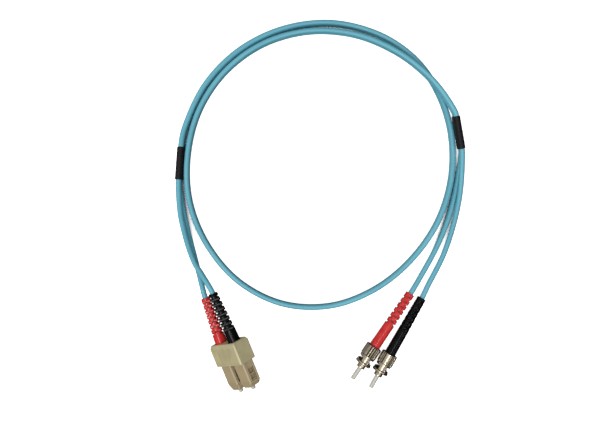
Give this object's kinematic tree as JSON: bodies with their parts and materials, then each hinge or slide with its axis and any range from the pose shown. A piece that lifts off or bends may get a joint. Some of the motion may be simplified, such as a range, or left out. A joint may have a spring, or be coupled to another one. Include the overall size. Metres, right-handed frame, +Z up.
{
  "type": "fiber optic patch cord",
  "caption": "Duplex fibre optic patch cord: a clipped pair of square push-pull plugs joined to a pair of round bayonet plugs by a looped two-strand aqua cord with red and black boots.",
  "frame": {"origin": "on the table, under the middle of the box round the four plugs and the clip, without the cord, its legs and its two bands", "axes": "+Z up from the table; +X from the square plugs towards the bayonet plugs, as the picture runs left to right; +Y from the plugs towards the loop of cord"},
  "size_m": [0.1614, 0.2073, 0.0248],
  "materials": {
    "aqua_jacket": "satin extruded jacket",
    "shrink_sleeve": "dull shrink sleeve",
    "beige_plastic": "moulded satin",
    "red_boot": "moulded satin",
    "black_boot": "moulded satin",
    "white_ceramic": "ground and polished",
    "nickel": "nickel-plated, satin",
    "brass": "bright drawn",
    "spring_steel": "bright wire and stamping",
    "fibre_buffer": "smooth extruded"
  },
  "bodies": {
    "cord_and_plugs": {"zip_cord": "aqua_jacket", "leg_plug_red": "aqua_jacket", "leg_plug_black": "aqua_jacket", "leg_bayonet_red": "aqua_jacket", "leg_bayonet_black": "aqua_jacket", "band_plug": "shrink_sleeve", "band_bayonet": "shrink_sleeve", "plug_frame_red": "beige_plastic", "plug_frame_black": "beige_plastic", "plug_spring_red": "spring_steel", "plug_spring_black": "spring_steel", "plug_backbone_red": "nickel", "plug_backbone_black": "nickel", "plug_crimp_red": "brass", "plug_crimp_black": "brass", "plug_fibre_red": "fibre_buffer", "plug_fibre_black": "fibre_buffer", "plug_boot_red": "red_boot", "plug_boot_black": "black_boot", "bayonet_ferrule_red": "white_ceramic", "bayonet_ferrule_black": "white_ceramic", "bayonet_barrel_red": "nickel", "bayonet_barrel_black": "nickel", "bayonet_spring_red": "spring_steel", "bayonet_spring_black": "spring_steel", "bayonet_ring_red": "spring_steel", "bayonet_ring_black": "spring_steel", "bayonet_crimp_red": "brass", "bayonet_crimp_black": "brass", "bayonet_fibre_red": "fibre_buffer", "bayonet_fibre_black": "fibre_buffer", "bayonet_boot_red": "red_boot", "bayonet_boot_black": "black_boot"},
    "push_pull_grip": {"duplex_clip": "beige_plastic", "plug_housing_red": "beige_plastic", "plug_housing_black": "beige_plastic"},
    "sprung_ferrule_red": {"plug_ferrule_red": "white_ceramic", "plug_flange_red": "nickel"},
    "sprung_ferrule_black": {"plug_ferrule_black": "white_ceramic", "plug_flange_black": "nickel"},
    "nut_carriage_red": {"bayonet_washer_red": "spring_steel"},
    "nut_carriage_black": {"bayonet_washer_black": "spring_steel"},
    "turning_nut_red": {"bayonet_nut_red": "nickel"},
    "turning_nut_black": {"bayonet_nut_black": "nickel"}
  },
  "joints": [
    {"name": "grip_slide", "type": "slide", "parent": "cord_and_plugs", "child": "push_pull_grip", "axis": [0.3739, -0.9255, -0.061], "range_m": [-0.0005, 0.001]},
    {"name": "ferrule_push_red", "type": "slide", "parent": "cord_and_plugs", "child": "sprung_ferrule_red", "axis": [-0.3739, 0.9255, 0.061], "range_m": [0, 0.0012], "stiffness_N_per_m": 3000, "springref_m": -0.0023, "deforming": ["plug_spring_red"]},
    {"name": "ferrule_push_black", "type": "slide", "parent": "cord_and_plugs", "child": "sprung_ferrule_black", "axis": [-0.3739, 0.9255, 0.061], "range_m": [0, 0.0012], "stiffness_N_per_m": 3000, "springref_m": -0.0023, "deforming": ["plug_spring_black"]},
    {"name": "nut_pull_red", "type": "slide", "parent": "cord_and_plugs", "child": "nut_carriage_red", "axis": [-0.5628, -0.8266, 0], "range_m": [0, 0.0024], "stiffness_N_per_m": 3000, "springref_m": -0.0018, "deforming": ["bayonet_spring_red"]},
    {"name": "nut_pull_black", "type": "slide", "parent": "cord_and_plugs", "child": "nut_carriage_black", "axis": [-0.497, -0.8678, 0], "range_m": [0, 0.0024], "stiffness_N_per_m": 3000, "springref_m": -0.0018, "deforming": ["bayonet_spring_black"]},
    {"name": "nut_turn_red", "type": "hinge", "parent": "nut_carriage_red", "child": "turning_nut_red", "pos_m": [0.02126, -0.02197, 0.0046], "axis": [-0.5628, -0.8266, 0], "continuous": true},
    {"name": "nut_turn_black", "type": "hinge", "parent": "nut_carriage_black", "child": "turning_nut_black", "pos_m": [0.03142, -0.02681, 0.0046], "axis": [-0.497, -0.8678, 0], "continuous": true}
  ]
}
